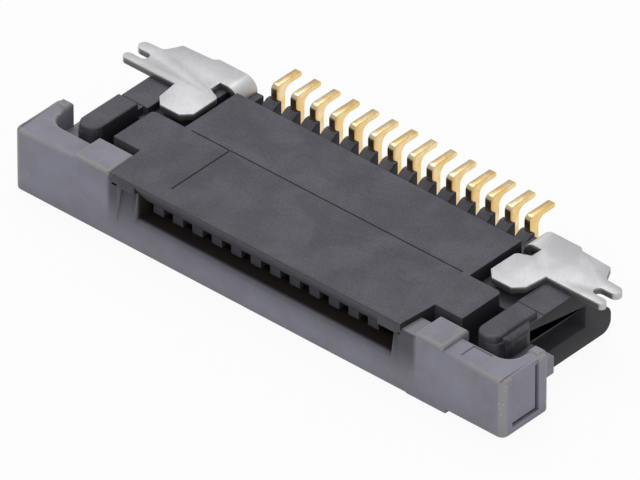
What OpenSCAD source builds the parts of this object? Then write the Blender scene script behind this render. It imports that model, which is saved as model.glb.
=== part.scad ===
/* Slider-lock FPC connector, 0.5 mm pitch, lying on its cover side with its solder side up.
   X runs along the contact row, -Y is the mouth side and Z is up. The origin is at the middle
   of the footprint, on the surface that the cover side rests on. */

/* [Contacts] */
// Distance between neighbouring contacts
pitch = 0.5; // [0.5:0.01:0.55]
// Number of contacts in the row
contact_count = 14; // [10:1:14]
// Thickness of the contact sheet, along the row
contact_t = 0.15; // [0.12:0.01:0.16]
// Height of the solder foot
foot_h = 0.12; // [0.1:0.01:0.14]
// How far the solder feet stand proud of the housing
foot_proud = 0.03; // [0:0.01:0.05]
// Distance from the housing's front to the tips of the solder feet
depth = 4.92; // [4.8:0.01:5]
// Width of the leg that carries the foot, front to back
leg_w = 0.25; // [0.22:0.01:0.28]
// Gap between the foot's tip and the leg's front face
foot_len = 0.74; // [0.7:0.01:0.76]

/* [Housing] */
// Height of the housing, from the cover face to the solder face
height = 1.55; // [1.5:0.01:1.6]
// Half the width of the lip at its front edge
lip_half_w = 3.7; // [3.68:0.01:3.75]
// Half the width of the lip where it meets the flange
lip_root_half_w = 3.78; // [3.76:0.01:3.8]
// Half the width of the flange
flange_half_w = 4.47; // [4.45:0.01:4.5]
// Half the width of the rear block
rear_half_w = 3.65; // [3.62:0.01:3.68]
// Distance from the front to the flange
flange_y = 0.92; // [0.9:0.01:0.95]
// Distance from the front to the rear edge of the flange
flange_rear_y = 2.06; // [2.04:0.01:2.08]
// Distance from the front to the back of the rear block
rear_y = 3.57; // [3.5:0.01:3.6]
// Thickness of the cover plate under the slider's tongue
cover_t = 0.28; // [0.26:0.01:0.3]
// Depth of the space that takes the cable, from the front
cavity_rear_y = 2.7; // [2.65:0.01:2.75]
// Half the width of the space for the slider's tongue
cavity_low_half_w = 3.28; // [3.26:0.01:3.3]
// Depth of the fine lines in the solder face
line_depth = 0.03; // [0.02:0.01:0.04]
// Width of the fine lines in the solder face
line_w = 0.03; // [0.02:0.01:0.04]

/* [Comb] */
// Half the width of the comb and of the sloped lead-in above it
comb_half_w = 3.11; // [3.1:0.01:3.12]
// Width of the notches between the comb's teeth at the mouth
notch_w = 0.235; // [0.2:0.005:0.26]
// Height of the tips of the comb's teeth above the cover face
tooth_z = 0.84; // [0.82:0.01:0.86]
// Height of the ceiling behind the comb above the cover face
ceiling_z = 1.03; // [1.01:0.01:1.04]
// Distance from the front to the foot of the sloped lead-in
slope_y = 0.3; // [0.28:0.01:0.32]
// Front to back thickness of the comb's teeth
comb_t = 0.2; // [0.18:0.01:0.22]
// Width of the ribs that hold the contact legs behind the housing
rib_w = 0.3; // [0.28:0.01:0.32]
// Height of those ribs at the contact legs
rib_z = 1.25; // [1.22:0.01:1.27]
// Height of those ribs where they meet the rear block
rib_root_z = 0.9; // [0.88:0.01:1]

/* [Wings] */
// Gap between a wing's outer face and the slider's outer wall
wing_gap = 0.5; // [0.48:0.01:0.52]
// Width of the arm that each wing reaches forward
arm_w = 0.56; // [0.54:0.01:0.58]
// Width of the raised pad on the arm
pad_w = 0.51; // [0.49:0.01:0.53]
// Distance from the front to the rear end of a wing
wing_rear_y = 4.15; // [4.1:0.01:4.17]
// Height of the wing's top, which carries the solder nail
wing_z = 1.4; // [1.38:0.01:1.42]
// Distance from the front to the arm's round end
arm_y = 0.78; // [0.76:0.01:0.8]
// How far the latch bump bulges out of the arm
bump_out = 0.09; // [0.07:0.01:0.1]
// Height of the bottom of the slide channel
channel_z = 0.46; // [0.44:0.01:0.48]
// Height of the slide channel, which is open to the side
channel_h = 0.48; // [0.46:0.01:0.5]
// Depth of the slide channel, along the row
channel_d = 0.36; // [0.34:0.01:0.38]
// Distance from the front to the rear end of the slide channel
channel_rear_y = 3.4; // [3.35:0.01:3.45]

/* [Slider] */
// Half the width of the slider over both ears
slider_half_w = 6.27; // [6.2:0.01:6.3]
// How far the slider sits to one side, within its play
slider_offset = 0.04; // [0:0.01:0.05]
// Front to back thickness of the slider's front bar
bar_d = 0.55; // [0.52:0.01:0.58]
// Height of the slider's front bar under the mouth
bar_z = 0.66; // [0.62:0.01:0.68]
// Half the width of the mouth, between the slider's cheeks
mouth_half_w = 3.28; // [3.27:0.01:3.3]
// How far the mouth sits to one side of the slider's middle
mouth_shift = 0.1; // [0.08:0.01:0.11]
// Height of the cheeks that frame the mouth at its ends
cheek_z = 1.24; // [1.2:0.01:1.26]
// Height above which the front face leans back to the mouth
lean_z = 0.4; // [0.38:0.01:0.45]
// How far the cheeks' top edge leans back
lean_y = 0.14; // [0.1:0.01:0.15]
// Thickness of the tongue that presses the cable
tongue_t = 0.27; // [0.25:0.01:0.28]
// Distance from the front to the tip of the tongue
tongue_y = 1.9; // [1.85:0.01:1.95]
// Half the width of the tongue
tongue_half_w = 3.08; // [3.05:0.01:3.1]
// Distance from the mouth's middle to the inner face of an ear
ear_x = 3.915; // [3.91:0.005:3.95]
// Thickness of the ear's front wall
ear_front_d = 0.62; // [0.6:0.01:0.64]
// Height of the ear's shelf
shelf_z = 1.42; // [1.4:0.01:1.44]
// Height of the raised block beside the lip
block_z = 1.53; // [1.51:0.01:1.55]
// Distance from the middle to the outer face of the raised block
block_x = 4.73; // [4.71:0.01:4.75]
// Front to back depth of the raised block
block_d = 0.77; // [0.75:0.01:0.79]
// Thickness of the ear's outer wall
ear_side_t = 0.35; // [0.33:0.01:0.36]
// Front to back depth of the ear's outer wall
ear_side_d = 1.33; // [1.3:0.01:1.36]
// Depth of the shallow panel in the ear's outer face
panel_depth = 0.04; // [0.03:0.01:0.05]
// Height of the small rise at the rear end of the ear's outer wall
ear_rise = 0.05; // [0.03:0.01:0.06]
// Width of the rail that runs in the wing's channel
rail_w = 0.58; // [0.55:0.01:0.6]
// Length of the rail behind the ear's front wall
rail_len = 1.25; // [1.2:0.01:1.28]
// Clearance between the slider and the housing
slide_gap = 0.04; // [0.03:0.005:0.04]

/* [Solder nails] */
// Thickness of the nail sheet
nail_t = 0.15; // [0.13:0.01:0.15]
// Distance from the front to the straight front edge of the nail
nail_y = 3; // [2.98:0.01:3.02]
// How far the nail's head reaches forward of that edge
head_d = 0.71; // [0.7:0.01:0.73]
// Width of the nail's head
head_w = 0.89; // [0.87:0.01:0.91]
// Gap between the rear block and the nail's head
head_gap = 0.16; // [0.15:0.01:0.18]
// Size of the chamfers on the head's front corners
head_chamfer = 0.2; // [0.18:0.01:0.22]
// How far the prongs reach past the wing
prong_out = 0.75; // [0.7:0.01:0.76]
// Width of the front prong
prong_w = 0.2; // [0.18:0.01:0.22]
// Depth of the gap between the two prongs
fork_d = 0.34; // [0.32:0.01:0.36]
// Width of the gap between the two prongs
fork_w = 0.22; // [0.2:0.01:0.24]
// Width of the nail's bent inner end
bend_w = 0.56; // [0.54:0.01:0.58]
// Outer radius of the bend at the nail's inner end
bend_r = 0.3; // [0.28:0.01:0.3]

/* [Hidden] */
$fn = 48;
eps = 0.01;
function two_digits(i) = i < 10 ? str("0", i) : str(i);
function contact_name(i) = str("contact_", two_digits(i));

row_half = pitch * (contact_count - 1) / 2;
cavity_half_w = row_half + contact_t / 2 + 0.1;
wing_x = slider_half_w - ear_side_t - wing_gap;
arm_x = wing_x - arm_w;
pad_x = arm_x + pad_w;
prong_x = wing_x + prong_out;
head_x = rear_half_w + head_gap;
bend_x = rear_half_w + bend_r;
bend_y = nail_y + 0.61;
tongue_z = cover_t + slide_gap;
comb_rear_y = slope_y + comb_t;
leg_y = depth - foot_len;
arm_low_z = 0.55;
arm_high_z = 0.85;
beam_low_z = ceiling_z + eps;
beam_high_z = 1.18;
mouth_low_z = bar_z + slide_gap;
lip_low_z = cheek_z + slide_gap;
cover_front_y = bar_d + slide_gap + 0.03;
slit_w = contact_t + 2 * 0.01;

function contact_x(i) = pitch * (i - 1) - row_half;
// Points on an arc around (cx, cy), from angle a0 to a1
function arc(cx, cy, r, a0, a1, steps = 8) =
    [for (k = [0:steps]) let (a = a0 + (a1 - a0) * k / steps) [cx + r * cos(a), cy + r * sin(a)]];

// Moves a piece drawn from the housing's front face back to the middle of the footprint
module from_front() {
    translate([0, -depth / 2, 0]) children();
}

// The same shape on both sides of the middle
module both_sides() {
    children();
    mirror([1, 0, 0]) children();
}

// A box between two corners
module box(low, high) {
    translate(low) cube(high - low);
}

// An outline drawn in the Y-Z plane, as thick as given, centred on X
module side_profile(thickness) {
    translate([-thickness / 2, 0, 0])
        rotate([90, 0, 90])
            linear_extrude(thickness) children();
}

// ---- Housing ----

module lip() {
    lip_rear_y = flange_y + 0.1;
    intersection() {
        union() {
            side_profile(2 * lip_root_half_w) polygon([
                [0, lip_low_z], [0, height], [lip_rear_y, height], [lip_rear_y, 0],
                [cover_front_y, 0], [cover_front_y, lip_low_z]
            ]);
            // The comb reaches lower, between the slider's cheeks
            side_profile(2 * comb_half_w) polygon([
                [0, mouth_low_z], [0, height], [lip_rear_y, height], [lip_rear_y, mouth_low_z]
            ]);
        }
        linear_extrude(height) polygon([
            [-lip_half_w, 0], [lip_half_w, 0], [lip_root_half_w, flange_y],
            [lip_root_half_w, lip_rear_y], [-lip_root_half_w, lip_rear_y], [-lip_root_half_w, flange_y]
        ]);
    }
}

module middle_block() {
    corner_r = 0.1;
    linear_extrude(height) polygon(concat(
        [[-flange_half_w, flange_y], [flange_half_w, flange_y]],
        arc(flange_half_w - corner_r, flange_rear_y - corner_r, corner_r, 0, 90),
        arc(corner_r - flange_half_w, flange_rear_y - corner_r, corner_r, 90, 180)
    ));
    box([-rear_half_w, flange_rear_y - eps, 0], [rear_half_w, rear_y, height]);
}

module wing() {
    tip_r = 0.25;
    tip_z = 0.57;
    floor_z = 1.2;
    slope_start_y = 3.2;
    wing_front_y = flange_rear_y + 0.14;
    block_rear_y = rear_y - 0.6;
    outer_x = arm_x + 0.04;
    // Low part behind the flange, under the nail's head
    box([rear_half_w - eps, flange_rear_y - eps, 0], [arm_x, rear_y, floor_z]);
    // Outer part, which slopes down to a round tip
    translate([(outer_x + wing_x) / 2, 0, 0]) side_profile(wing_x - outer_x) polygon(concat(
        [[wing_front_y, wing_z], [wing_front_y, 0]],
        arc(wing_rear_y - tip_r, tip_r, tip_r, -90, 0),
        arc(wing_rear_y - tip_r, tip_z - 0.2, tip_r, 0, 45),
        [[slope_start_y, wing_z]]
    ));
    // Rear part behind the block, which carries the nail
    box([rear_half_w + bend_r, block_rear_y, 0], [outer_x + eps, wing_rear_y, wing_z]);
    box([arm_x - 0.12, wing_front_y, 0], [outer_x + eps, rear_y, wing_z]);
}

module arm() {
    pad_r = pad_w / 2;
    arm_r = arm_w / 2;
    arm_z = wing_z - 0.02;
    // Arm below the pad, with a round front end
    box([arm_x, arm_y + arm_r, 0], [wing_x, flange_rear_y + 0.2, arm_z]);
    translate([arm_x + arm_r, arm_y + arm_r, 0]) cylinder(r = arm_r, h = arm_z);
    // Raised pad
    box([arm_x, arm_y + pad_r, 0], [pad_x, flange_rear_y, height]);
    translate([arm_x + pad_r, arm_y + pad_r, 0]) cylinder(r = pad_r, h = height);
}

// Rounded bulge on the arm's outer side, which holds the slider shut
module latch_bump() {
    bump_r = 0.2;
    bump_z = 1.47;
    bump_low_z = 1;
    bump_w = 0.36;
    bump_y = arm_y + 0.22;
    bump_rear_y = flange_rear_y - 0.22;
    outer_x = wing_x + bump_out;
    end_r = bump_w - 0.1;
    intersection() {
        translate([0, bump_rear_y, 0])
            rotate([90, 0, 0])
                linear_extrude(bump_rear_y - bump_y) polygon(concat(
                    [[outer_x - bump_w, bump_low_z], [outer_x, bump_low_z]],
                    arc(outer_x - bump_r, bump_z - bump_r, bump_r, 0, 90),
                    [[outer_x - bump_w, bump_z]]
                ));
        linear_extrude(height) polygon(concat(
            [[outer_x - bump_w, bump_rear_y], [outer_x - bump_w, bump_y]],
            arc(outer_x - end_r, bump_y + end_r, end_r, -90, 0),
            arc(outer_x - end_r, bump_rear_y - end_r, end_r, 0, 90)
        ));
    }
}

module slide_channel() {
    box([wing_x - channel_d, -eps, channel_z], [wing_x + 1, channel_rear_y, channel_z + channel_h]);
}

// Sloped ribs that hold the contact legs, and the walls at the ends of their row
module leg_ribs() {
    rib_rear_y = leg_y + 0.06;
    end_wall_x = rear_half_w - 0.17;
    for (i = [1:contact_count])
        translate([contact_x(i), 0, 0]) side_profile(rib_w) polygon([
            [rear_y - eps, 0], [rear_y - eps, rib_root_z], [leg_y - 0.04, rib_z],
            [rib_rear_y, rib_z], [rib_rear_y, 0]
        ]);
    both_sides()
        box([end_wall_x, rear_y - eps, 0], [rear_half_w + bend_r + eps, wing_rear_y, rib_z]);
}

// Space for the tongue and the cable, and the sloped lead-in above the mouth
module cable_space() {
    lead_in_z = height - 0.06;
    side_profile(2 * comb_half_w + 2 * eps) polygon([
        [-1, mouth_low_z - eps], [comb_rear_y + eps, mouth_low_z - eps], [comb_rear_y + eps, tooth_z],
        [slope_y, tooth_z], [slope_y, ceiling_z], [0, lead_in_z], [-1, lead_in_z]
    ]);
    side_profile(2 * cavity_low_half_w) polygon([
        [-1, -1], [cover_front_y, -1], [cover_front_y, cover_t],
        [cavity_rear_y, cover_t], [cavity_rear_y, mouth_low_z], [-1, mouth_low_z]
    ]);
    box([-cavity_half_w, comb_rear_y, cover_t], [cavity_half_w, cavity_rear_y, ceiling_z]);
}

module comb_notches() {
    for (i = [1:contact_count - 1])
        translate([contact_x(i) + pitch / 2, 0, 0])
            box([-notch_w / 2, 0, tooth_z - 0.1], [notch_w / 2, comb_rear_y + eps, ceiling_z]);
}

// A slit for each contact, from the cable space to the back of its rib
module contact_slits() {
    for (i = [1:contact_count])
        translate([contact_x(i), 0, 0]) side_profile(slit_w) polygon([
            [comb_rear_y + 0.1, ceiling_z - eps], [comb_rear_y + 0.1, beam_high_z + 0.06],
            [cavity_rear_y + 0.1, beam_high_z + 0.06], [cavity_rear_y + 0.1, arm_high_z + eps],
            [leg_y - eps, arm_high_z + eps], [leg_y - eps, height], [leg_y + 1, height],
            [leg_y + 1, arm_low_z - eps],
            [cavity_rear_y - eps, arm_low_z - eps], [cavity_rear_y - eps, ceiling_z - eps]
        ]);
}

module solder_face_lines() {
    line_end_x = 3.48;
    gate_x = -2.48;
    box([-line_end_x, flange_rear_y - line_w / 2, height - line_depth],
        [line_end_x, flange_rear_y + line_w / 2, height + 1]);
    box([gate_x - line_w / 2, 0.38, height - line_depth],
        [gate_x + line_w / 2, flange_rear_y, height + 1]);
}

module housing() {
    color("#4b4950") from_front() difference() {
        union() {
            lip();
            middle_block();
            leg_ribs();
            both_sides() {
                wing();
                arm();
                latch_bump();
            }
        }
        cable_space();
        comb_notches();
        contact_slits();
        solder_face_lines();
        both_sides() slide_channel();
    }
}

// ---- Slider ----

module tongue() {
    side_profile(2 * tongue_half_w) polygon(concat(
        [[bar_d - 0.1, tongue_z], [tongue_y - 0.1, tongue_z], [tongue_y, tongue_z + 0.08]],
        [[tongue_y, tongue_z + tongue_t - 0.08], [tongue_y - 0.1, tongue_z + tongue_t]],
        [[bar_d - 0.1, tongue_z + tongue_t]]
    ));
}

module front_bar() {
    edge_r = 0.12;
    top_y = lean_y * (bar_z - lean_z) / (cheek_z - lean_z);
    side_profile(2 * ear_x) polygon(concat(
        [[0, lean_z], [0, 0], [bar_d, 0], [bar_d, bar_z]],
        arc(top_y + edge_r, bar_z - edge_r, edge_r, 90, 170)
    ));
}

// Wall between the mouth and the raised block, with a front face that leans back
module cheek() {
    cheek_w = ear_x - mouth_half_w + 0.2;
    translate([mouth_half_w + cheek_w / 2, 0, 0]) side_profile(cheek_w) polygon([
        [0, 0], [0, lean_z], [lean_y, cheek_z], [bar_d, cheek_z], [bar_d, 0]
    ]);
}

module ear() {
    corner_r = 0.15;
    rear_r = 0.12;
    scoop_r = 0.35;
    rise_d = 0.24;
    rise_x = slider_half_w - 2 * panel_depth;
    inner_x = slider_half_w - ear_side_t;
    inner_end_x = ear_x + mouth_shift;
    // Front wall and outer wall in one outline, scooped out round the arm's end
    linear_extrude(shelf_z) polygon(concat(
        [[inner_end_x, 0]],
        arc(slider_half_w - corner_r, corner_r, corner_r, -90, 0),
        arc(slider_half_w - rear_r, ear_side_d - rear_r, rear_r, 0, 90),
        [[inner_x, ear_side_d]],
        arc(inner_x - scoop_r, ear_front_d + scoop_r, scoop_r, 0, -90),
        [[inner_end_x, ear_front_d]]
    ));
    // Small rise at the rear end of the outer wall
    linear_extrude(shelf_z + ear_rise) polygon(concat(
        [[inner_x, ear_side_d - rise_d], [rise_x, ear_side_d - rise_d]],
        arc(rise_x - rear_r, ear_side_d - rear_r, rear_r, 0, 90),
        [[inner_x, ear_side_d]]
    ));
    // Rail that runs in the wing's channel
    box([inner_x - rail_w, ear_front_d - eps, channel_z + slide_gap],
        [inner_x + eps, ear_front_d + rail_len, channel_z + channel_h - slide_gap]);
}

// Raised blocks beside the lip
module blocks() {
    box([ear_x + mouth_shift, 0, 0], [block_x, block_d, block_z]);
    box([-block_x, 0, 0], [mouth_shift - ear_x, block_d, block_z]);
}

// Shallow panel in the ear's outer face, open at the top, with a groove along two sides
module side_panel() {
    front_y = 0.27;
    low_z = 0.24;
    groove_w = 0.06;
    groove_depth = 0.09;
    rear_y = ear_side_d - 0.3;
    box([slider_half_w - panel_depth, front_y, low_z], [slider_half_w + 1, rear_y, shelf_z + 1]);
    box([slider_half_w - groove_depth, rear_y - groove_w, low_z],
        [slider_half_w + 1, rear_y, shelf_z - 0.12]);
    box([slider_half_w - groove_depth, front_y, low_z], [slider_half_w + 1, rear_y, low_z + groove_w]);
}

// Marks that only the right-hand ear has: a sunk patch in its shelf and a step in its lower face
module right_ear_marks() {
    patch_depth = 0.03;
    patch_x = block_x + 0.32;
    patch_w = 0.5;
    patch_y = 0.17;
    patch_d = 0.38;
    step_x = block_x + 0.08;
    step_z = 0.085;
    box([patch_x, patch_y, shelf_z - patch_depth], [patch_x + patch_w, patch_y + patch_d, shelf_z + 1]);
    box([step_x, -1, -1], [slider_half_w + 1, ear_side_d + 1, step_z]);
}

module slider() {
    color("#86868c") from_front() translate([slider_offset, 0, 0]) difference() {
        union() {
            translate([mouth_shift, 0, 0]) {
                front_bar();
                tongue();
                both_sides() cheek();
            }
            both_sides() ear();
            blocks();
        }
        both_sides() side_panel();
        right_ear_marks();
    }
}

// ---- Contacts ----

module contact(i) {
    foot_top = height + foot_proud;
    foot_r = 0.18;
    bend_out_r = 0.12;
    beam_y = 0.64;
    nub_z = 0.72;
    color("#e6c478") from_front() translate([contact_x(i), 0, 0]) side_profile(contact_t) polygon(concat(
        arc(leg_y + bend_out_r, foot_top - bend_out_r, bend_out_r, 180, 90),
        arc(depth - foot_h / 2, foot_top - foot_h / 2, foot_h / 2, 90, -90),
        arc(leg_y + leg_w + foot_r, foot_top - foot_h - foot_r, foot_r, 90, 180),
        [[leg_y + leg_w, arm_low_z], [cavity_rear_y + 0.05, arm_low_z]],
        [[cavity_rear_y + 0.05, beam_low_z], [beam_y + 0.3, beam_low_z]],
        [[beam_y + 0.2, nub_z], [beam_y + 0.1, nub_z], [beam_y, beam_low_z + 0.02]],
        [[beam_y, beam_high_z], [cavity_rear_y + 0.08, beam_high_z]],
        [[cavity_rear_y + 0.08, arm_high_z], [leg_y, arm_high_z]]
    ));
}

// ---- Solder nails ----

module nail_outline() {
    prong_r = prong_w / 2;
    rear_prong_r = 0.13;
    fork_r = fork_w / 2;
    head_y = nail_y - head_d;
    fork_y = nail_y + prong_w + fork_r;
    rear_prong_y = fork_y + fork_r + rear_prong_r;
    tail_y = bend_y + bend_w;
    notch_w = 0.17;
    head_r = 0.16;
    polygon(concat(
        // Head with chamfered front corners
        [[head_x, head_y + head_chamfer], [head_x + head_chamfer, head_y]],
        [[head_x + head_w - head_chamfer, head_y], [head_x + head_w, head_y + head_chamfer]],
        [[head_x + head_w + 0.06, nail_y]],
        // Front prong and fork
        arc(prong_x - prong_r, nail_y + prong_r, prong_r, -90, 90),
        arc(prong_x - fork_d, fork_y, fork_r, -90, -270),
        // Rear prong
        arc(prong_x - rear_prong_r, rear_prong_y, rear_prong_r, -90, 90),
        [[prong_x - fork_d - 0.13, rear_prong_y + rear_prong_r + 0.02]],
        [[prong_x - fork_d - 0.2, rear_prong_y + rear_prong_r + 0.09]],
        [[wing_x + 0.06, tail_y - 0.12], [arm_x - 0.12, tail_y - 0.08]],
        // Rear tab, up to the bend
        [[arm_x - 0.22, tail_y], [bend_x, tail_y], [bend_x, bend_y], [bend_x + notch_w, bend_y]],
        [[bend_x + notch_w, nail_y + 0.33]],
        arc(head_x + head_r, nail_y + 0.25 - head_r, head_r, 100, 160)
    ));
}

module solder_nail() {
    top_z = wing_z + nail_t;
    translate([0, 0, wing_z]) linear_extrude(nail_t) nail_outline();
    // Bend at the inner end, down beside the wing
    translate([bend_x, bend_y, top_z - bend_r]) rotate([-90, 0, 0]) linear_extrude(bend_w)
        polygon(concat(arc(0, 0, bend_r, 270, 180), arc(0, 0, bend_r - nail_t, 180, 270)));
}

module solder_nail_right() {
    color("#d6d4d4") from_front() solder_nail();
}

module solder_nail_left() {
    color("#d6d4d4") from_front() mirror([1, 0, 0]) solder_nail();
}

housing();
slider();
solder_nail_left();
solder_nail_right();
for (i = [1:contact_count])
    contact(i);
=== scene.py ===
import math

import bpy
import bmesh
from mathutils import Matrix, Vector


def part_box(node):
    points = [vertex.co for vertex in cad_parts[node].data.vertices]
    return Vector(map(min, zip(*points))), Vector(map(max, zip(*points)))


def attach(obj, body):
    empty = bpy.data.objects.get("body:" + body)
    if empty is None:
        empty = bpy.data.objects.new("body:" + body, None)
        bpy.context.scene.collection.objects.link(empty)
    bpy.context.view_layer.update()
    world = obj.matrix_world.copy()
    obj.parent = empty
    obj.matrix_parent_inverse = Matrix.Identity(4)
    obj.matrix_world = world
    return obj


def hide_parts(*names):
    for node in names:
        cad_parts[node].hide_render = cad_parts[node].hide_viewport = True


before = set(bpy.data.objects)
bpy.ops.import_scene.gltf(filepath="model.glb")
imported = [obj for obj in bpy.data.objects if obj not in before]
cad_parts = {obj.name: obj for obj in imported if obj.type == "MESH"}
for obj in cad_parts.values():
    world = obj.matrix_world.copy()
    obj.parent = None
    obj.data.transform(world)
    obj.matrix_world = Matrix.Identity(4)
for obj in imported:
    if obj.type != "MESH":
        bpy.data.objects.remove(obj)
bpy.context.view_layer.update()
mm = 0.001  # Blender works in metres, the sizes below are in millimetres
perMetre = 1000.0  # over a size in millimetres, this gives a texture's scale
nearby = 0.001  # millimetres within which an edge counts as lying on a face
clear = 0.01  # millimetres by which an edge is surely off it

contactNames = sorted(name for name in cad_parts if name.startswith("contact_"))


# the camera looks down on the solder side from the front right
camera = {
    "azimuth": 41.68,
    "elevation": 35.96,
    "distance": 390.3,
    "target": (0.134, -0.739, 0.867),
    "lens": 1146.0,
}


def addCamera():
    turn = math.radians(camera["azimuth"])
    tilt = math.radians(camera["elevation"])
    away = Vector((math.sin(turn) * math.cos(tilt), -math.cos(turn) * math.cos(tilt), math.sin(tilt)))
    data = bpy.data.cameras.new("camera")
    data.lens = camera["lens"]
    data.clip_start = 0.01
    data.clip_end = 10.0
    obj = bpy.data.objects.new("camera", data)
    bpy.context.scene.collection.objects.link(obj)
    obj.location = (Vector(camera["target"]) + away * camera["distance"]) * mm
    obj.rotation_euler = (-away).to_track_quat("-Z", "Y").to_euler()
    bpy.context.scene.camera = obj


addCamera()
print("camera set")


# node helpers

def newGroup(name, inputs, outputs):
    # inputs are (name, kind, value), outputs are (name, kind)
    tree = bpy.data.node_groups.new(name, "ShaderNodeTree")
    for label, kind, value in inputs:
        socket = tree.interface.new_socket(name=label, in_out="INPUT", socket_type=kind)
        socket.default_value = value
    for label, kind in outputs:
        tree.interface.new_socket(name=label, in_out="OUTPUT", socket_type=kind)
    return tree, tree.nodes.new("NodeGroupInput"), tree.nodes.new("NodeGroupOutput")


def addNode(tree, kind, options=None, sockets=None):
    # sockets maps an input's name or number to a value or to another node's output
    node = tree.nodes.new(kind)
    for key, value in (options or {}).items():
        setattr(node, key, value)
    for key, value in (sockets or {}).items():
        if isinstance(value, bpy.types.NodeSocket):
            tree.links.new(value, node.inputs[key])
        else:
            node.inputs[key].default_value = value
    return node


def mathNode(tree, operation, a, b=0.0):
    return addNode(tree, "ShaderNodeMath", {"operation": operation}, {0: a, 1: b}).outputs[0]


def mixColour(tree, amount, a, b):
    # sockets 0, 6 and 7 are the amount and the two colours, output 2 is the mixed colour
    return addNode(tree, "ShaderNodeMix", {"data_type": "RGBA"}, {0: amount, 6: a, 7: b}).outputs[2]


def ramp(tree, value, low, high):
    # 0 at low and 1 at high, smooth between them, also where low is the larger
    options = {"interpolation_type": "SMOOTHSTEP"}
    sockets = {"Value": value, "From Min": low, "From Max": high}
    return addNode(tree, "ShaderNodeMapRange", options, sockets).outputs["Result"]


def noise(tree, vector, scale, detail=3.0, roughness=0.5, distortion=0.0):
    sockets = {"Vector": vector, "Scale": scale, "Detail": detail,
               "Roughness": roughness, "Distortion": distortion}
    return addNode(tree, "ShaderNodeTexNoise", None, sockets).outputs["Fac"]


def attribute(tree, name):
    return addNode(tree, "ShaderNodeAttribute", {"attribute_name": name}).outputs["Fac"]


def objectPoint(tree):
    return tree.nodes.new("ShaderNodeTexCoord").outputs["Object"]


def facing(tree, axis, sign=1.0):
    # how far a face turns towards an axis of the part
    geometry = tree.nodes.new("ShaderNodeNewGeometry")
    split = addNode(tree, "ShaderNodeSeparateXYZ", None, {0: geometry.outputs["Normal"]})
    return mathNode(tree, "MULTIPLY", split.outputs[axis], sign)


def axisValue(tree, point, axis):
    # one object coordinate in millimetres
    split = addNode(tree, "ShaderNodeSeparateXYZ", None, {0: point})
    return mathNode(tree, "MULTIPLY", split.outputs[axis], 1.0 / mm)


def product(tree, *values):
    result = values[0]
    for value in values[1:]:
        result = mathNode(tree, "MULTIPLY", result, value)
    return result


# effects that several materials share

def buildGrainGroup():
    # fine grain and slow mottling of a moulded or plated surface
    tree, entry, out = newGroup(
        "surfaceGrain",
        [("Point", "NodeSocketVector", (0, 0, 0)), ("Grain Size", "NodeSocketFloat", 0.04),
         ("Mottle Size", "NodeSocketFloat", 0.6), ("Seed", "NodeSocketFloat", 0.0)],
        [("Grain", "NodeSocketFloat"), ("Mottle", "NodeSocketFloat"), ("Pits", "NodeSocketFloat")],
    )
    spot = addNode(tree, "ShaderNodeVectorMath", {"operation": "ADD"}, {0: entry.outputs["Point"]})
    shift = addNode(tree, "ShaderNodeCombineXYZ", None,
                    {"X": entry.outputs["Seed"], "Y": entry.outputs["Seed"], "Z": entry.outputs["Seed"]})
    tree.links.new(shift.outputs[0], spot.inputs[1])
    grainScale = mathNode(tree, "DIVIDE", perMetre, entry.outputs["Grain Size"])
    mottleScale = mathNode(tree, "DIVIDE", perMetre, entry.outputs["Mottle Size"])
    grain = noise(tree, spot.outputs[0], grainScale, 4.0, 0.65)
    mottle = noise(tree, spot.outputs[0], mottleScale, 4.0, 0.6, 0.4)
    pitScale = mathNode(tree, "MULTIPLY", grainScale, 0.55)
    cells = addNode(tree, "ShaderNodeTexVoronoi", None, {"Vector": spot.outputs[0], "Scale": pitScale})
    pits = ramp(tree, cells.outputs["Distance"], 0.32, 0.12)
    tree.links.new(grain, out.inputs["Grain"])
    tree.links.new(mottle, out.inputs["Mottle"])
    tree.links.new(pits, out.inputs["Pits"])
    return tree


def buildWearGroup():
    # worn edges, from the edge attribute broken up by noise, and small bright chips on them
    tree, entry, out = newGroup(
        "edgeWear",
        [("Point", "NodeSocketVector", (0, 0, 0)), ("Edge", "NodeSocketFloat", 0.0),
         ("Break Size", "NodeSocketFloat", 0.3), ("Chip Size", "NodeSocketFloat", 0.08),
         ("Amount", "NodeSocketFloat", 0.5)],
        [("Wear", "NodeSocketFloat"), ("Chips", "NodeSocketFloat")],
    )
    breakScale = mathNode(tree, "DIVIDE", perMetre, entry.outputs["Break Size"])
    chipScale = mathNode(tree, "DIVIDE", perMetre, entry.outputs["Chip Size"])
    patches = noise(tree, entry.outputs["Point"], breakScale, 3.0, 0.6)
    limit = mathNode(tree, "SUBTRACT", 1.0, entry.outputs["Amount"])
    low = mathNode(tree, "MULTIPLY", limit, 0.7)
    broken = addNode(tree, "ShaderNodeMapRange", None,
                     {"Value": patches, "From Min": low, "From Max": mathNode(tree, "ADD", low, 0.2)})
    wear = mathNode(tree, "MULTIPLY", entry.outputs["Edge"], broken.outputs["Result"])
    cells = addNode(tree, "ShaderNodeTexVoronoi", {"feature": "F1"},
                    {"Vector": entry.outputs["Point"], "Scale": chipScale})
    dots = ramp(tree, cells.outputs["Distance"], 0.34, 0.2)
    sparseScale = mathNode(tree, "MULTIPLY", chipScale, 0.45)
    sparse = ramp(tree, noise(tree, entry.outputs["Point"], sparseScale), 0.58, 0.66)
    chips = product(tree, dots, sparse, entry.outputs["Edge"])
    tree.links.new(wear, out.inputs["Wear"])
    tree.links.new(chips, out.inputs["Chips"])
    return tree


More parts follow.
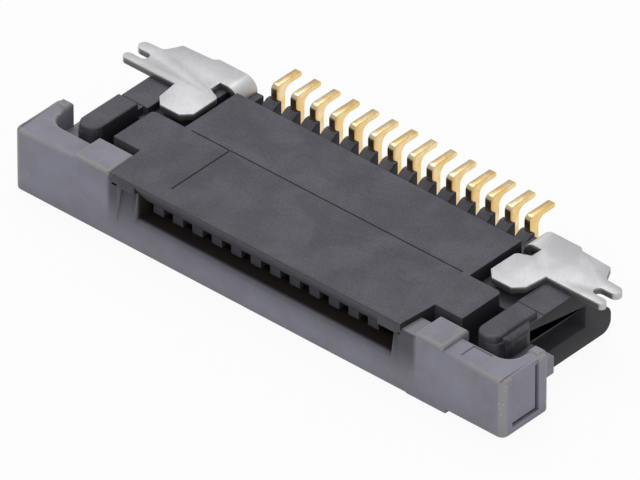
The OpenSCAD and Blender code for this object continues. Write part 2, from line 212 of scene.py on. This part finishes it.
def buildScratchGroup():
    # long fine scratches and rolling lines of sheet metal, along X
    tree, entry, out = newGroup(
        "sheetLines",
        [("Point", "NodeSocketVector", (0, 0, 0)), ("Line Size", "NodeSocketFloat", 0.03),
         ("Stretch", "NodeSocketFloat", 0.05), ("Turn", "NodeSocketFloat", 0.0)],
        [("Lines", "NodeSocketFloat"), ("Scratches", "NodeSocketFloat")],
    )
    turned = addNode(tree, "ShaderNodeVectorRotate", {"rotation_type": "Z_AXIS"},
                     {"Vector": entry.outputs["Point"], "Angle": entry.outputs["Turn"]})
    scale = mathNode(tree, "DIVIDE", perMetre, entry.outputs["Line Size"])
    along = mathNode(tree, "MULTIPLY", scale, entry.outputs["Stretch"])
    squeeze = addNode(tree, "ShaderNodeCombineXYZ", None, {"X": along, "Y": scale, "Z": scale})
    drawn = addNode(tree, "ShaderNodeVectorMath", {"operation": "MULTIPLY"},
                    {0: turned.outputs[0], 1: squeeze.outputs[0]})
    lines = noise(tree, drawn.outputs[0], 1.0, 3.0, 0.6)
    far = noise(tree, drawn.outputs[0], 0.35, 2.0, 0.5)
    scratches = ramp(tree, far, 0.6, 0.68)
    tree.links.new(lines, out.inputs["Lines"])
    tree.links.new(scratches, out.inputs["Scratches"])
    return tree


grainGroup = buildGrainGroup()
wearGroup = buildWearGroup()
scratchGroup = buildScratchGroup()


def useGroup(tree, group, sockets):
    return addNode(tree, "ShaderNodeGroup", {"node_tree": group}, sockets).outputs


def startMaterial(name):
    material = bpy.data.materials.new(name)
    material.use_nodes = True
    tree = material.node_tree
    tree.nodes.clear()
    shader = tree.nodes.new("ShaderNodeBsdfPrincipled")
    end = tree.nodes.new("ShaderNodeOutputMaterial")
    tree.links.new(shader.outputs[0], end.inputs["Surface"])
    return material, tree, shader


def blend(tree, base, mask, amount, colour):
    # lays a colour over the base where the mask says so
    return mixColour(tree, mathNode(tree, "MULTIPLY", mask, amount), base, colour)


def roughen(tree, shader, value, smoothest, roughest):
    node = addNode(tree, "ShaderNodeMapRange", None, {"Value": value, "From Min": 0.3, "From Max": 0.7,
                                                      "To Min": smoothest, "To Max": roughest})
    tree.links.new(node.outputs[0], shader.inputs["Roughness"])


def bump(tree, shader, height, strength, distance):
    # distance is in millimetres
    node = addNode(tree, "ShaderNodeBump", None,
                   {"Height": height, "Strength": strength, "Distance": distance * mm})
    tree.links.new(node.outputs[0], shader.inputs["Normal"])


print("shader groups built")


# black glass-filled resin of the housing, matt, with painted sheen that makes it paler on top and painted
# shade that makes it blacker on its sides and in its gaps
housingLook = {
    # top and topPale, whose mix is random mottle, carry painted sheen; front and side carry painted shade,
    # picked by which way a face turns
    "top": (0.094, 0.091, 0.107, 1),
    "topPale": (0.128, 0.125, 0.143, 1),
    "front": (0.078, 0.075, 0.088, 1),
    "side": (0.026, 0.023, 0.026, 1),
    # dark gives the painted shade in the gaps and also the darker grain and pits
    "dark": (0.030, 0.026, 0.030, 1),
    "worn": (0.19, 0.185, 0.20, 1),
    "chip": (0.62, 0.60, 0.62, 1),
    "lipWear": (2.9, 3.4),  # the lip's ends wear from here on, in millimetres from the middle
    "lipFront": (-2.1, -2.35),
    "deep": (1.22, 0.95),  # heights between which painted shade darkens the gaps
}


def buildHousingResin():
    material, tree, shader = startMaterial("housingResin")
    point = objectPoint(tree)
    edge = attribute(tree, "edge")
    grain = useGroup(tree, grainGroup, {"Point": point, "Grain Size": 0.05, "Mottle Size": 0.9})
    fine = useGroup(tree, grainGroup, {"Point": point, "Grain Size": 0.02, "Mottle Size": 0.25, "Seed": 3.1})
    worn = useGroup(tree, wearGroup, {"Point": point, "Edge": edge, "Break Size": 0.35,
                                      "Chip Size": 0.09, "Amount": 0.4})
    mottle = ramp(tree, grain["Mottle"], 0.35, 0.65)
    top = mixColour(tree, mottle, housingLook["top"], housingLook["topPale"])
    # painted sheen and shade: the colour goes from side to front to top as a face turns towards the front and
    # up
    towardsFront = ramp(tree, facing(tree, 1, -1.0), 0.3, 0.8)
    base = mixColour(tree, towardsFront, housingLook["side"], housingLook["front"])
    base = mixColour(tree, ramp(tree, facing(tree, 2), 0.2, 0.85), base, top)
    # painted shade, darker low down in the gaps
    deep = ramp(tree, axisValue(tree, point, 2), *housingLook["deep"])
    base = blend(tree, base, deep, 0.6, housingLook["dark"])
    base = blend(tree, base, ramp(tree, grain["Grain"], 0.6, 0.38), 0.28, housingLook["dark"])
    base = blend(tree, base, fine["Pits"], 0.2, housingLook["dark"])
    base = blend(tree, base, worn["Wear"], 0.35, housingLook["worn"])
    # bright chips only on the worn ends of the lip
    spread = mathNode(tree, "ABSOLUTE", axisValue(tree, point, 0))
    ends = product(tree, ramp(tree, spread, *housingLook["lipWear"]),
                   ramp(tree, axisValue(tree, point, 1), *housingLook["lipFront"]))
    base = mixColour(tree, mathNode(tree, "MULTIPLY", worn["Chips"], ends), base, housingLook["chip"])
    tree.links.new(base, shader.inputs["Base Color"])
    roughen(tree, shader, fine["Grain"], 0.5, 0.66)
    shader.inputs["Specular IOR Level"].default_value = 0.3
    height = mathNode(tree, "ADD", mathNode(tree, "MULTIPLY", grain["Grain"], 0.6), fine["Grain"])
    bump(tree, shader, height, 0.45, 0.004)
    return material


# grey resin of the slider, brownish where it is worn, with painted shade on its front and in its mouth
sliderLook = {
    "colour": (0.261, 0.253, 0.290, 1),
    "cool": (0.299, 0.294, 0.352, 1),
    "brown": (0.344, 0.312, 0.303, 1),
    "worn": (0.375, 0.352, 0.325, 1),
    "chip": (0.66, 0.64, 0.61, 1),
    "dark": (0.13, 0.12, 0.12, 1),
    # painted shade on the front between the blocks
    "shaded": (0.085, 0.083, 0.096, 1),
    # painted shade within the mouth
    "mouthShade": (0.032, 0.024, 0.022, 1),
    # painted shade on the floors of the grooves
    "groove": (0.075, 0.052, 0.040, 1),
    "mouthMiddle": 0.14,  # places in millimetres, from the part's own middle
    "blockSide": (4.0, 3.85),
    "mouthSide": (3.45, 3.3),
    "mouthRear": (-2.40, -2.25),
}


def buildSliderResin():
    material, tree, shader = startMaterial("sliderResin")
    point = objectPoint(tree)
    edge = attribute(tree, "edge")
    across = axisValue(tree, point, 0)
    along = axisValue(tree, point, 1)
    up = axisValue(tree, point, 2)
    grain = useGroup(tree, grainGroup, {"Point": point, "Grain Size": 0.06, "Mottle Size": 1.1, "Seed": 1.7})
    fine = useGroup(tree, grainGroup, {"Point": point, "Grain Size": 0.022, "Mottle Size": 0.3, "Seed": 5.2})
    worn = useGroup(tree, wearGroup, {"Point": point, "Edge": edge, "Break Size": 0.6,
                                      "Chip Size": 0.07, "Amount": 0.75})
    base = mixColour(tree, ramp(tree, grain["Mottle"], 0.35, 0.65), sliderLook["colour"], sliderLook["cool"])
    base = blend(tree, base, ramp(tree, fine["Mottle"], 0.48, 0.7), 0.45, sliderLook["brown"])
    base = blend(tree, base, fine["Pits"], 0.14, sliderLook["dark"])
    # the front leans back, and painted shade darkens it between the two raised blocks, most towards its top
    offset = mathNode(tree, "ABSOLUTE", mathNode(tree, "SUBTRACT", across, sliderLook["mouthMiddle"]))
    middle = ramp(tree, offset, *sliderLook["blockSide"])
    shade = product(tree, middle, ramp(tree, up, 0.15, 1.15), ramp(tree, facing(tree, 1, -1.0), 0.3, 0.7))
    base = blend(tree, base, shade, 0.95, sliderLook["shaded"])
    base = blend(tree, base, worn["Wear"], 0.8, sliderLook["worn"])
    # painted shade, dark within the mouth
    mouthShade = product(tree, ramp(tree, offset, *sliderLook["mouthSide"]),
                     ramp(tree, along, *sliderLook["mouthRear"]), ramp(tree, up, 0.05, 0.3))
    base = mixColour(tree, mouthShade, base, sliderLook["mouthShade"])
    # painted shade on the groove floors
    base = blend(tree, base, attribute(tree, "groove"), 0.9, sliderLook["groove"])
    base = mixColour(tree, worn["Chips"], base, sliderLook["chip"])
    tree.links.new(base, shader.inputs["Base Color"])
    roughen(tree, shader, fine["Grain"], 0.52, 0.7)
    shader.inputs["Specular IOR Level"].default_value = 0.3
    height = mathNode(tree, "ADD", mathNode(tree, "MULTIPLY", grain["Grain"], 0.8), fine["Grain"])
    bump(tree, shader, height, 0.4, 0.004)
    return material


# gold plate on the contacts
goldLook = {
    "colour": (0.86, 0.60, 0.24, 1),
    # pale serves the random mottle and the painted highlight on the edges
    "pale": (0.95, 0.78, 0.48, 1),
    "dark": (0.55, 0.33, 0.10, 1),
}


def buildGoldPlate():
    material, tree, shader = startMaterial("goldPlate")
    point = objectPoint(tree)
    grain = useGroup(tree, grainGroup, {"Point": point, "Grain Size": 0.03, "Mottle Size": 0.35, "Seed": 2.4})
    lines = useGroup(tree, scratchGroup, {"Point": point, "Line Size": 0.012, "Stretch": 1.0})
    base = mixColour(tree, ramp(tree, grain["Mottle"], 0.4, 0.7), goldLook["colour"], goldLook["pale"])
    base = blend(tree, base, ramp(tree, grain["Grain"], 0.6, 0.75), 0.35, goldLook["dark"])
    # painted highlight, paler gold on the rounded edges
    base = blend(tree, base, attribute(tree, "edge"), 0.5, goldLook["pale"])
    tree.links.new(base, shader.inputs["Base Color"])
    shader.inputs["Metallic"].default_value = 1.0
    roughen(tree, shader, lines["Lines"], 0.26, 0.42)
    bump(tree, shader, lines["Lines"], 0.25, 0.002)
    return material


# matt tin plate on the solder nails
tinLook = {
    "colour": (0.60, 0.585, 0.585, 1),
    "pale": (0.69, 0.68, 0.68, 1),
    "dark": (0.40, 0.38, 0.37, 1),
    "cut": (0.17, 0.155, 0.14, 1),
    # painted highlight on the rounded edges
    "edge": (0.88, 0.87, 0.85, 1),
}


def buildTinPlate():
    material, tree, shader = startMaterial("tinPlate")
    point = objectPoint(tree)
    grain = useGroup(tree, grainGroup, {"Point": point, "Grain Size": 0.05, "Mottle Size": 0.8, "Seed": 4.6})
    lines = useGroup(tree, scratchGroup, {"Point": point, "Line Size": 0.03, "Stretch": 0.12, "Turn": 0.9})
    base = mixColour(tree, ramp(tree, grain["Mottle"], 0.35, 0.65), tinLook["colour"], tinLook["pale"])
    base = blend(tree, base, lines["Scratches"], 0.12, tinLook["dark"])
    base = blend(tree, base, grain["Pits"], 0.12, tinLook["dark"])
    # cut faces of the sheet, where the plating is thin
    base = mixColour(tree, ramp(tree, facing(tree, 2), 0.3, 0.02), base, tinLook["cut"])
    # painted highlight, bright tin on the rounded edges
    base = blend(tree, base, attribute(tree, "edge"), 0.6, tinLook["edge"])
    tree.links.new(base, shader.inputs["Base Color"])
    shader.inputs["Metallic"].default_value = 0.55
    roughen(tree, shader, lines["Lines"], 0.5, 0.62)
    height = mathNode(tree, "ADD", lines["Lines"], mathNode(tree, "MULTIPLY", grain["Grain"], 0.6))
    bump(tree, shader, height, 0.2, 0.004)
    return material


housingResin = buildHousingResin()
sliderResin = buildSliderResin()
goldPlate = buildGoldPlate()
tinPlate = buildTinPlate()
print("materials built")


# dressed pieces: merged copies of the frame's solids with rounded edges, marked for wear on the resin and for
# painted highlights on the metal

def mergedCopy(nodeName):
    mesh = bmesh.new()
    mesh.from_mesh(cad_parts[nodeName].data)
    bmesh.ops.remove_doubles(mesh, verts=mesh.verts, dist=0.0001 * mm)
    bmesh.ops.dissolve_limit(mesh, angle_limit=math.radians(1), verts=mesh.verts, edges=mesh.edges)
    return mesh


def sharpEdges(mesh, angle, wanted=None):
    found = []
    for edge in mesh.edges:
        if len(edge.link_faces) != 2 or edge.calc_face_angle(0) < math.radians(angle):
            continue
        middle = (edge.verts[0].co + edge.verts[1].co) / 2 / mm
        if wanted is None or wanted(middle, edge):
            found.append(edge)
    return found


def roundEdges(mesh, edges, size, segments):
    bmesh.ops.bevel(mesh, geom=edges, offset=size * mm, offset_type="OFFSET", affect="EDGES",
                    segments=segments, profile=0.5, clamp_overlap=False, material=-1, loop_slide=True)


wear = {"stripWidth": 0.06, "leastTurn": 12, "smoothTo": 35}  # angles in degrees


def isStrip(face):
    longest = max(edge.calc_length() for edge in face.edges)
    return face.calc_area() < wear["stripWidth"] * mm * longest


def markEdges(mesh):
    # the edge mask, for wear on the resin and painted highlights on the metal, follows points that lie only
    # on narrow, outward-turning strips
    layer = mesh.verts.layers.float.new("edge")
    least = math.radians(wear["leastTurn"])
    mesh.normal_update()
    for vert in mesh.verts:
        turns = [edge.calc_face_angle_signed(0) for edge in vert.link_edges if len(edge.link_faces) == 2]
        outward = max(turns, default=0) > least and min(turns, default=0) > -least
        vert[layer] = 1.0 if outward and all(isStrip(face) for face in vert.link_faces) else 0.0


def toObject(mesh, name):
    data = bpy.data.meshes.new(name)
    mesh.to_mesh(data)
    mesh.free()
    obj = bpy.data.objects.new(name, data)
    bpy.context.scene.collection.objects.link(obj)
    return obj


def finishPiece(mesh, name, body, material, nodeName):
    markEdges(mesh)
    obj = toObject(mesh, name)
    obj.data.materials.append(material)
    for face in obj.data.polygons:
        face.use_smooth = True
    obj.data.set_sharp_from_angle(angle=math.radians(wear["smoothTo"]))
    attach(obj, body)
    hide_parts(nodeName)


# housing, with softer edges on the two arms
housing = {
    "edge": 0.010, "segments": 2, "angle": 31,
    "padEdge": 0.05, "padSegments": 3, "padAngle": 30, "padInner": 4.8,
}


def onPad(middle, edge):
    # top rim of an arm's raised pad
    high = all(vert.co.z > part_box("housing")[1][2] - nearby * mm for vert in edge.verts)
    return high and abs(middle.x) > housing["padInner"]


def makeHousing():
    mesh = mergedCopy("housing")
    roundEdges(mesh, sharpEdges(mesh, housing["padAngle"], onPad), housing["padEdge"], housing["padSegments"])
    roundEdges(mesh, sharpEdges(mesh, housing["angle"]), housing["edge"], housing["segments"])
    finishPiece(mesh, "housingShell", "housing_body", housingResin, "housing")


# slider, rebuilt from rounded blocks that are joined into one shell
slider = {
    "middle": 0.04, "front": -2.46, "halfWidth": 6.27,
    "shelf": 1.42, "rise": 1.47, "riseDepth": 0.24,
    "earFront": 0.62, "earDepth": 1.33, "earSide": 0.35, "cornerRadius": 0.15, "rearRadius": 0.12,
    "scoopRadius": 0.35, "earStart": 3.6, "earRound": 0.085, "stepStart": 4.81, "step": 0.085,
    "block": 1.53, "blockOuter": 4.73, "blockInner": 3.915, "blockDepth": 0.77, "blockRound": 0.075,
    "mouthShift": 0.1, "mouthHalf": 3.28, "cheek": 1.24, "lean": 0.14, "leanFrom": 0.4,
    "bar": 0.66, "barDepth": 0.55, "barRound": 0.1,
    "tongueLow": 0.32, "tongueThick": 0.27, "tongueHalf": 3.08, "tongueEnd": 1.9,
    "railWidth": 0.58, "railLow": 0.5, "railHigh": 0.9, "railEnd": 1.87,
    "panel": 0.04, "panelFront": 0.27, "panelRear": 1.03, "panelLow": 0.24,
    "groove": 0.09, "grooveWidth": 0.06, "grooveTop": 1.3,
    "patch": 0.03, "patchX": 5.05, "patchWidth": 0.5, "patchY": 0.17, "patchDepth": 0.38,
    # how far the blocks reach into each other
    "overlap": 0.3, "fillOverlap": 0.2, "tongueOverlap": 0.1, "railOverlap": 0.02,
    "cheekLow": 0.05, "past": 1,  # cutters reach past the faces that they cut
    "riseRound": 0.08, "tongueRound": 0.05, "railRound": 0.04, "smallRound": 0.03,
}


def place(x, y, z):
    # from the slider's own middle and front to the part's frame
    return Vector((x + slider["middle"], y + slider["front"], z)) * mm


def arcPoints(cx, cy, radius, start, end, steps=6):
    turns = [math.radians(start + (end - start) * k / steps) for k in range(steps + 1)]
    return [(cx + radius * math.cos(turn), cy + radius * math.sin(turn)) for turn in turns]


def upright(outline, low, high):
    # a plan outline, drawn up from low to high
    mesh = bmesh.new()
    face = mesh.faces.new([mesh.verts.new(place(x, y, low)) for x, y in outline])
    raised = bmesh.ops.extrude_face_region(mesh, geom=[face])
    moved = [item for item in raised["geom"] if isinstance(item, bmesh.types.BMVert)]
    bmesh.ops.translate(mesh, verts=moved, vec=(0, 0, (high - low) * mm))
    bmesh.ops.recalc_face_normals(mesh, faces=mesh.faces)
    return mesh


def sideways(profile, left, right):
    # a side profile, drawn along the row from left to right
    mesh = bmesh.new()
    face = mesh.faces.new([mesh.verts.new(place(left, y, z)) for y, z in profile])
    raised = bmesh.ops.extrude_face_region(mesh, geom=[face])
    moved = [item for item in raised["geom"] if isinstance(item, bmesh.types.BMVert)]
    bmesh.ops.translate(mesh, verts=moved, vec=((right - left) * mm, 0, 0))
    bmesh.ops.recalc_face_normals(mesh, faces=mesh.faces)
    return mesh


def brick(low, high):
    mesh = bmesh.new()
    bmesh.ops.create_cube(mesh, size=1.0)
    a, b = place(*low), place(*high)
    bmesh.ops.scale(mesh, verts=mesh.verts, vec=b - a)
    bmesh.ops.translate(mesh, verts=mesh.verts, vec=(a + b) / 2)
    return mesh


def edgesWhere(mesh, wanted):
    # wanted gets an edge's middle and direction, in millimetres from the slider's front middle
    found = []
    for edge in mesh.edges:
        middle = (edge.verts[0].co + edge.verts[1].co) / 2 / mm
        middle -= Vector((slider["middle"], slider["front"], 0))
        way = (edge.verts[1].co - edge.verts[0].co).normalized()
        if wanted(middle, way):
            found.append(edge)
    return found


def mirrored(mesh):
    bmesh.ops.translate(mesh, verts=mesh.verts, vec=(-slider["middle"] * mm, 0, 0))
    bmesh.ops.scale(mesh, verts=mesh.verts, vec=(-1, 1, 1))
    bmesh.ops.translate(mesh, verts=mesh.verts, vec=(slider["middle"] * mm, 0, 0))
    bmesh.ops.reverse_faces(mesh, faces=mesh.faces)
    return mesh


def earShell(right):
    inner = slider["halfWidth"] - slider["earSide"]
    outer = slider["halfWidth"]
    scoop, corner, rear = slider["scoopRadius"], slider["cornerRadius"], slider["rearRadius"]
    low = slider["step"] if right else 0.0
    outline = [(slider["earStart"], 0.0)]
    outline += arcPoints(outer - corner, corner, corner, -90, 0)
    outline += arcPoints(outer - rear, slider["earDepth"] - rear, rear, 0, 90, 4)
    outline += [(inner, slider["earDepth"])]
    outline += arcPoints(inner - scoop, slider["earFront"] + scoop, scoop, 0, -90, 8)
    outline += [(slider["earStart"], slider["earFront"])]
    mesh = upright(outline, low, slider["shelf"])
    rim = edgesWhere(mesh, lambda m, w: m.z > slider["shelf"] - nearby and m.x > slider["earStart"] + clear)
    roundEdges(mesh, rim, slider["earRound"], 4)
    foot = edgesWhere(mesh, lambda m, w: m.z < low + nearby and m.x > slider["earStart"] + clear)
    roundEdges(mesh, foot, slider["smallRound"], 2)
    return mesh if right else mirrored(mesh)


def riseShell(right):
    # small hook at the rear top end of the ear
    outer = slider["halfWidth"] - 2 * slider["panel"]
    inner = slider["halfWidth"] - slider["earSide"]
    mesh = brick((inner, slider["earDepth"] - slider["riseDepth"], slider["shelf"] - slider["overlap"]),
                 (outer, slider["earDepth"], slider["rise"]))
    rim = edgesWhere(mesh, lambda m, w: m.z > slider["rise"] - nearby)
    roundEdges(mesh, rim, slider["riseRound"], 4)
    return mesh if right else mirrored(mesh)


def blockShell(left, right):
    mesh = brick((left, 0.0, slider["overlap"]), (right, slider["blockDepth"], slider["block"]))
    rim = edgesWhere(mesh, lambda m, w: m.z > slider["block"] - nearby or (m.y < nearby and abs(w.z) > 0.9))
    roundEdges(mesh, rim, slider["blockRound"], 4)
    return mesh


def barShell():
    high, depth = slider["bar"], slider["barDepth"]
    lean = slider["lean"] * (high - slider["leanFrom"]) / (slider["cheek"] - slider["leanFrom"])
    profile = [(0, slider["leanFrom"]), (0, 0), (depth, 0), (depth, high), (lean, high)]
    left = slider["mouthShift"] - slider["blockInner"] - slider["overlap"]
    right = slider["mouthShift"] + slider["blockInner"] + slider["overlap"]
    mesh = sideways(profile, left, right)
    top = edgesWhere(mesh, lambda m, w: m.z > high - nearby and m.y < lean + nearby and abs(w.x) > 0.9)
    roundEdges(mesh, top, slider["barRound"], 5)
    foot = edgesWhere(mesh, lambda m, w: m.z < nearby and m.y < nearby and abs(w.x) > 0.9)
    roundEdges(mesh, foot, slider["smallRound"], 2)
    return mesh


def cheekShell(right):
    depth, low = slider["barDepth"], slider["cheekLow"]
    profile = [(0, low), (0, slider["leanFrom"]), (slider["lean"], slider["cheek"]),
               (depth, slider["cheek"]), (depth, low)]
    shift = slider["mouthShift"]
    inner, outer = slider["mouthHalf"], slider["blockInner"] + slider["overlap"]
    left, end = (shift + inner, shift + outer) if right else (shift - outer, shift - inner)
    mesh = sideways(profile, left, end)
    side = shift + inner if right else shift - inner
    rim = edgesWhere(mesh, lambda m, w: m.z > slider["leanFrom"] + clear and m.y < depth - clear
                     and (abs(m.x - side) < nearby or abs(w.x) > 0.9))
    roundEdges(mesh, rim, slider["smallRound"], 3)
    return mesh


def tongueShell():
    low, high = slider["tongueLow"], slider["tongueLow"] + slider["tongueThick"]
    shift = slider["mouthShift"]
    mesh = brick((shift - slider["tongueHalf"], slider["barDepth"] - slider["tongueOverlap"], low),
                 (shift + slider["tongueHalf"], slider["tongueEnd"], high))
    rim = edgesWhere(mesh, lambda m, w: m.y > slider["barDepth"] + clear)
    roundEdges(mesh, rim, slider["tongueRound"], 3)
    return mesh


def railShell(right):
    inner = slider["halfWidth"] - slider["earSide"]
    overlap = slider["railOverlap"]
    mesh = brick((inner - slider["railWidth"], slider["earFront"] - overlap, slider["railLow"]),
                 (inner + overlap, slider["railEnd"], slider["railHigh"]))
    rim = edgesWhere(mesh, lambda m, w: m.y > slider["railEnd"] - nearby)
    roundEdges(mesh, rim, slider["railRound"], 3)
    return mesh if right else mirrored(mesh)


def combine(first, others, operation):
    # joins or cuts with exact booleans and returns the mesh
    base = toObject(first, "combineBase")
    tools = [toObject(other, "combineTool") for other in others]
    for tool in tools:
        step = base.modifiers.new("combine", "BOOLEAN")
        step.operation = operation
        step.solver = "EXACT"
        step.object = tool
    graph = bpy.context.evaluated_depsgraph_get()
    result = bmesh.new()
    result.from_mesh(bpy.data.meshes.new_from_object(base.evaluated_get(graph)))
    for obj in [base] + tools:
        bpy.data.objects.remove(obj, do_unlink=True)
    return result


def markGrooves(mesh):
    # the floors of the grooves in the ears' outer faces, which get painted shade
    layer = mesh.verts.layers.float.new("groove")
    floorX = slider["halfWidth"] - slider["groove"]
    for vert in mesh.verts:
        x = abs(vert.co.x / mm - slider["middle"])
        y = vert.co.y / mm - slider["front"]
        onFloor = abs(x - floorX) < clear
        vert[layer] = 1.0 if onFloor and y < slider["panelRear"] + clear else 0.0


def earCutters(right):
    # the sunk side panel of an ear and the groove along its rear and bottom
    face, low = slider["halfWidth"], slider["panelLow"]
    front, rear = slider["panelFront"], slider["panelRear"]
    outside = face + slider["past"]
    deep = face - slider["groove"]
    made = [brick((face - slider["panel"], front, low), (outside, rear, slider["shelf"] + slider["past"])),
            brick((deep, rear - slider["grooveWidth"], low), (outside, rear, slider["grooveTop"])),
            brick((deep, front, low), (outside, rear, low + slider["grooveWidth"]))]
    return made if right else [mirrored(mesh) for mesh in made]


def makeSlider():
    shift, inner, outer = slider["mouthShift"], slider["blockInner"], slider["blockOuter"]
    parts = [earShell(True), earShell(False), riseShell(True), riseShell(False),
             blockShell(shift + inner, outer), blockShell(-outer, shift - inner),
             cheekShell(True), cheekShell(False), tongueShell(), railShell(True), railShell(False)]
    # carries the right ear's underside down to the bar's, up to the step
    fill = brick((shift + inner - slider["fillOverlap"], 0.0, 0.0),
                 (slider["stepStart"], slider["earFront"], slider["overlap"]))
    joined = combine(barShell(), parts + [fill], "UNION")
    cutters = earCutters(True) + earCutters(False)
    cutters.append(brick((slider["patchX"], slider["patchY"], slider["shelf"] - slider["patch"]),
                         (slider["patchX"] + slider["patchWidth"], slider["patchY"] + slider["patchDepth"],
                          slider["shelf"] + slider["past"])))
    mesh = combine(joined, cutters, "DIFFERENCE")
    bmesh.ops.remove_doubles(mesh, verts=mesh.verts, dist=0.0002 * mm)
    markGrooves(mesh)
    finishPiece(mesh, "sliderLock", "slider_body", sliderResin, "slider")


contact = {"edge": 0.008, "segments": 2, "angle": 50}


def makeContact(nodeName):
    mesh = mergedCopy(nodeName)
    roundEdges(mesh, sharpEdges(mesh, contact["angle"]), contact["edge"], contact["segments"])
    name = nodeName.replace("contact", "lead")
    finishPiece(mesh, name, "housing_body", goldPlate, nodeName)


nail = {"edge": 0.010, "segments": 2, "angle": 50}


def makeNail(side):
    nodeName = "solder_nail_" + side
    mesh = mergedCopy(nodeName)
    roundEdges(mesh, sharpEdges(mesh, nail["angle"]), nail["edge"], nail["segments"])
    finishPiece(mesh, "nail_" + side, "housing_body", tinPlate, nodeName)


makeHousing()
print("housing made")
makeSlider()
print("slider made")
for nodeName in contactNames:
    makeContact(nodeName)
makeNail("left")
makeNail("right")
print("contacts and nails made")


# pale floor, white surroundings and soft lamps
studio = {
    "floorHalf": 400.0,
    "worldStrength": 0.5,
    "floorWhite": 0.93,
    "lamps": [("keyLamp", (-40, 30, 110), 90, 0.055), ("fillLamp", (90, -80, 60), 90, 0.02)],
}


def addFloor():
    mesh = bmesh.new()
    bmesh.ops.create_grid(mesh, x_segments=1, y_segments=1, size=studio["floorHalf"] * mm)
    obj = toObject(mesh, "floor")
    material = bpy.data.materials.new("floorPaper")
    material.use_nodes = True
    tree = material.node_tree
    tree.nodes.clear()
    end = tree.nodes.new("ShaderNodeOutputMaterial")
    paper = addNode(tree, "ShaderNodeBsdfDiffuse", None, {"Color": (0.86, 0.86, 0.87, 1)})
    glow = addNode(tree, "ShaderNodeEmission", None, {"Color": (1, 1, 1, 1), "Strength": 1.0})
    rays = tree.nodes.new("ShaderNodeLightPath")
    seen = mathNode(tree, "MAXIMUM", rays.outputs["Is Camera Ray"], rays.outputs["Is Glossy Ray"])
    seen = mathNode(tree, "MAXIMUM", seen, rays.outputs["Is Transmission Ray"])
    share = mathNode(tree, "MULTIPLY", seen, studio["floorWhite"])
    mix = addNode(tree, "ShaderNodeMixShader", None, {0: share, 1: paper.outputs[0], 2: glow.outputs[0]})
    tree.links.new(mix.outputs[0], end.inputs["Surface"])
    obj.data.materials.append(material)


def addWorld():
    world = bpy.data.worlds.new("studio")
    world.use_nodes = True
    tree = world.node_tree
    tree.nodes.clear()
    end = tree.nodes.new("ShaderNodeOutputWorld")
    soft = addNode(tree, "ShaderNodeBackground", None,
                   {"Color": (0.93, 0.95, 1.0, 1), "Strength": studio["worldStrength"]})
    white = addNode(tree, "ShaderNodeBackground", None, {"Color": (1, 1, 1, 1), "Strength": 1.0})
    rays = tree.nodes.new("ShaderNodeLightPath")
    mix = addNode(tree, "ShaderNodeMixShader", None,
                  {0: rays.outputs["Is Camera Ray"], 1: soft.outputs[0], 2: white.outputs[0]})
    tree.links.new(mix.outputs[0], end.inputs["Surface"])
    bpy.context.scene.world = world


def addLamp(name, spot, size, power):
    # spot and size are in millimetres, power in watts, and the lamp looks at the part
    data = bpy.data.lights.new(name, "AREA")
    data.shape = "DISK"
    data.size = size * mm
    data.energy = power
    obj = bpy.data.objects.new(name, data)
    bpy.context.scene.collection.objects.link(obj)
    obj.location = Vector(spot) * mm
    obj.rotation_euler = (-Vector(spot)).to_track_quat("-Z", "Y").to_euler()


addFloor()
addWorld()
for lamp in studio["lamps"]:
    addLamp(*lamp)
print("studio set")

view = bpy.context.scene.view_settings
view.view_transform = "Standard"
